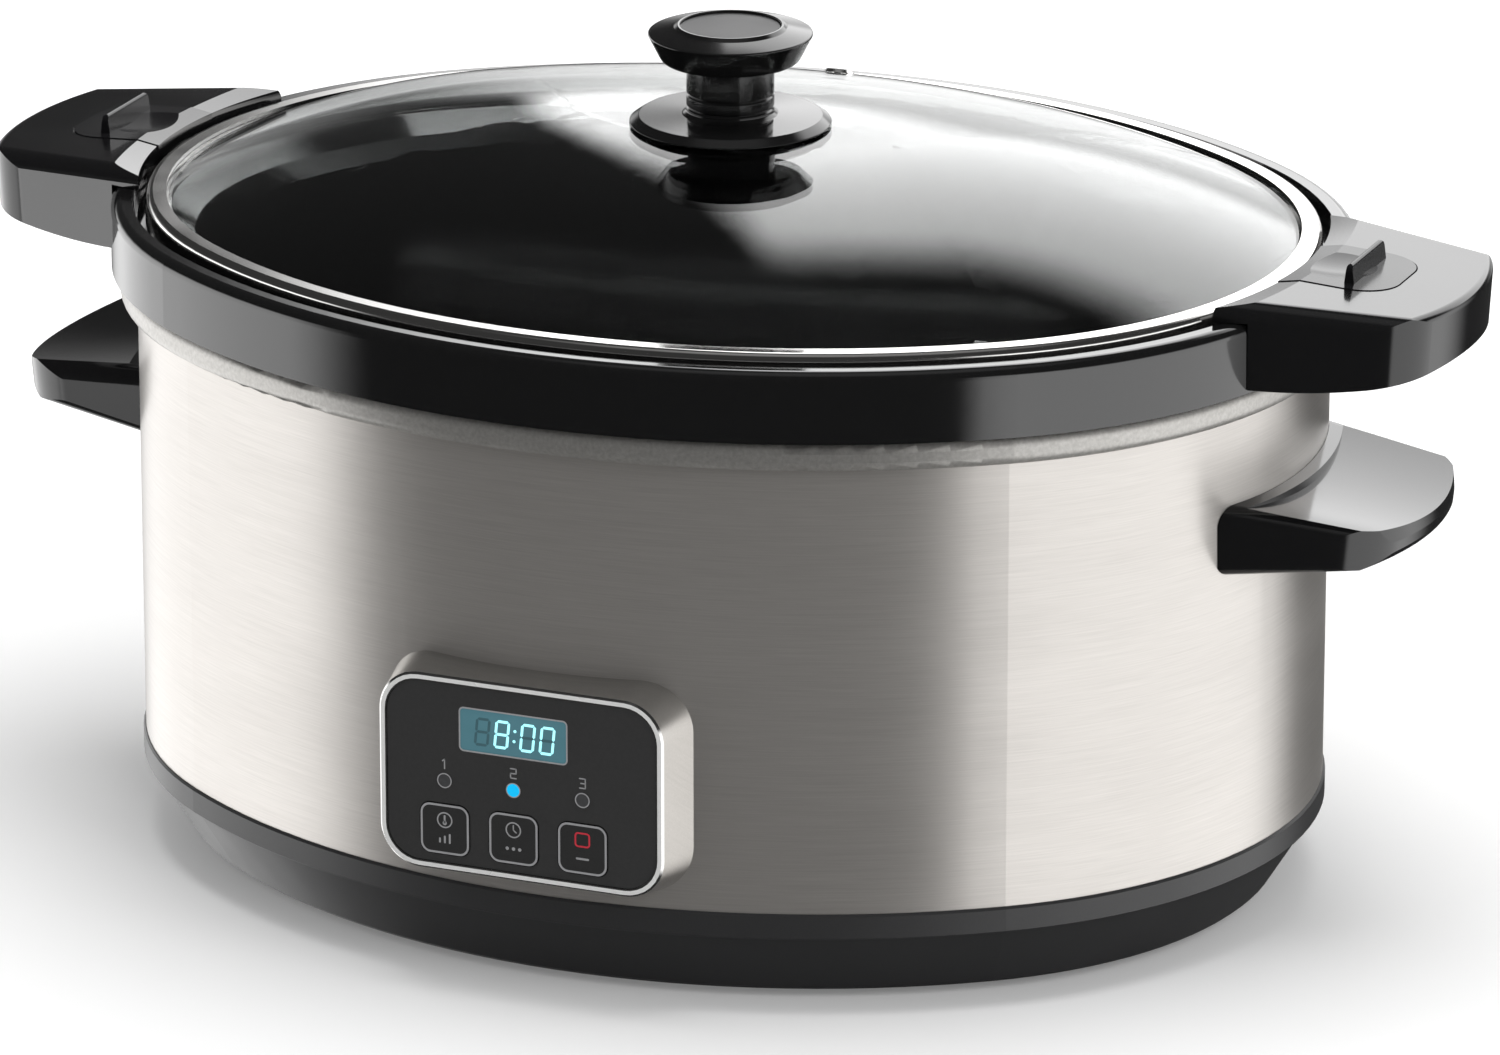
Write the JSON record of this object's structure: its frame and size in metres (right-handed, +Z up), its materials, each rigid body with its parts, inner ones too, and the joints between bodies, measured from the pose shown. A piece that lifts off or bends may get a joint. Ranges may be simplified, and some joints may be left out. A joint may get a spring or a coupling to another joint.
{
  "type": "slow cooker",
  "caption": "Oval slow cooker with a steel body, lift-out ceramic pot, domed glass lid held by two sliding latches, side handles and a front control panel with keys.",
  "frame": {"origin": "on the floor under the middle of the oval body", "axes": "+Z up, -Y towards the control panel (the front), +X to the right of someone facing the panel's front from outside looking along +Y"},
  "size_m": [0.4496, 0.3024, 0.2455],
  "materials": {
    "skirt": "satin black moulding",
    "rubber": "dull grey rubber",
    "screw_steel": "zinc-plated",
    "body_steel": "brushed along its length, satin",
    "liner_steel": "aluminised sheet",
    "heater_mica": "mica-faced strip",
    "terminal": "plated pins",
    "sensor_metal": "drawn can",
    "fuse_ceramic": "glazed tube",
    "handle_black": "polished black",
    "bezel_silver": "satin silver",
    "fascia_black": "glossy near-black",
    "display_glass": "tinted window",
    "display_body": "grey-green module",
    "lamp_lens": "milky lens",
    "key_black": "smooth dark grey",
    "switch_plastic": "moulded",
    "board_green": "lacquered board",
    "box_black": "moulded",
    "relay_blue": "moulded case",
    "coil_yellow": "taped winding",
    "holder_white": "moulded",
    "gland_black": "moulded",
    "pot_glaze": "glossy black glaze",
    "latch_black": "polished black",
    "lid_clear": "clear, polished",
    "ring_steel": "polished steel band",
    "seal_grey": "soft silicone",
    "knob_black": "polished black",
    "disc_black": "satin disc"
  },
  "bodies": {
    "base": {"skirt": "skirt", "rubber_feet": "rubber", "skirt_screws": "screw_steel", "outer_shell": "body_steel", "heating_liner": "liner_steel", "liner_studs": "liner_steel", "heater_band": "heater_mica", "heater_terminals": "terminal", "temperature_sensor": "sensor_metal", "thermal_fuse": "fuse_ceramic", "body_handle_left": "handle_black", "body_handle_right": "handle_black", "body_handle_screws": "screw_steel", "panel_bezel": "bezel_silver", "panel_fascia": "fascia_black", "display_window": "display_glass", "display_module": "display_body", "indicator_lamps": "lamp_lens", "key_switches": "switch_plastic", "control_board": "board_green", "panel_box": "box_black", "panel_screws": "screw_steel", "power_board": "board_green", "relay": "relay_blue", "transformer": "coil_yellow", "fuse_holder": "holder_white", "cord_gland": "gland_black"},
    "pot": {"pot": "pot_glaze", "grip_left": "handle_black", "grip_right": "handle_black", "grip_screws": "screw_steel"},
    "lid": {"lid_glass": "lid_clear", "lid_ring": "ring_steel", "lid_gasket": "seal_grey", "steam_vent": "ring_steel", "knob_seal": "seal_grey", "knob_base": "knob_black", "knob_cap": "knob_black", "knob_disc": "disc_black", "knob_screw": "screw_steel"},
    "latch_left": {"latch_left": "latch_black"},
    "latch_right": {"latch_right": "latch_black"},
    "temperature_key": {"temperature_key": "key_black"},
    "time_key": {"time_key": "key_black"},
    "stop_key": {"stop_key": "key_black"}
  },
  "joints": [
    {"name": "pot_lift", "type": "slide", "parent": "base", "child": "pot", "axis": [0, 0, 1], "range_m": [0, 0.14]},
    {"name": "lid_lift", "type": "slide", "parent": "pot", "child": "lid", "axis": [0, 0, 1], "range_m": [0, 0.1]},
    {"name": "latch_left_slide", "type": "slide", "parent": "pot", "child": "latch_left", "axis": [1, 0, 0], "range_m": [0, 0.007]},
    {"name": "latch_right_slide", "type": "slide", "parent": "pot", "child": "latch_right", "axis": [-1, 0, 0], "range_m": [0, 0.007]},
    {"name": "temperature_key_press", "type": "slide", "parent": "base", "child": "temperature_key", "axis": [0, 1, 0], "range_m": [0, 0.0008], "stiffness_N_per_m": 400, "springref_m": -0.0004},
    {"name": "time_key_press", "type": "slide", "parent": "base", "child": "time_key", "axis": [0, 1, 0], "range_m": [0, 0.0008], "stiffness_N_per_m": 400, "springref_m": -0.0004},
    {"name": "stop_key_press", "type": "slide", "parent": "base", "child": "stop_key", "axis": [0, 1, 0], "range_m": [0, 0.0008], "stiffness_N_per_m": 400, "springref_m": -0.0004}
  ]
}
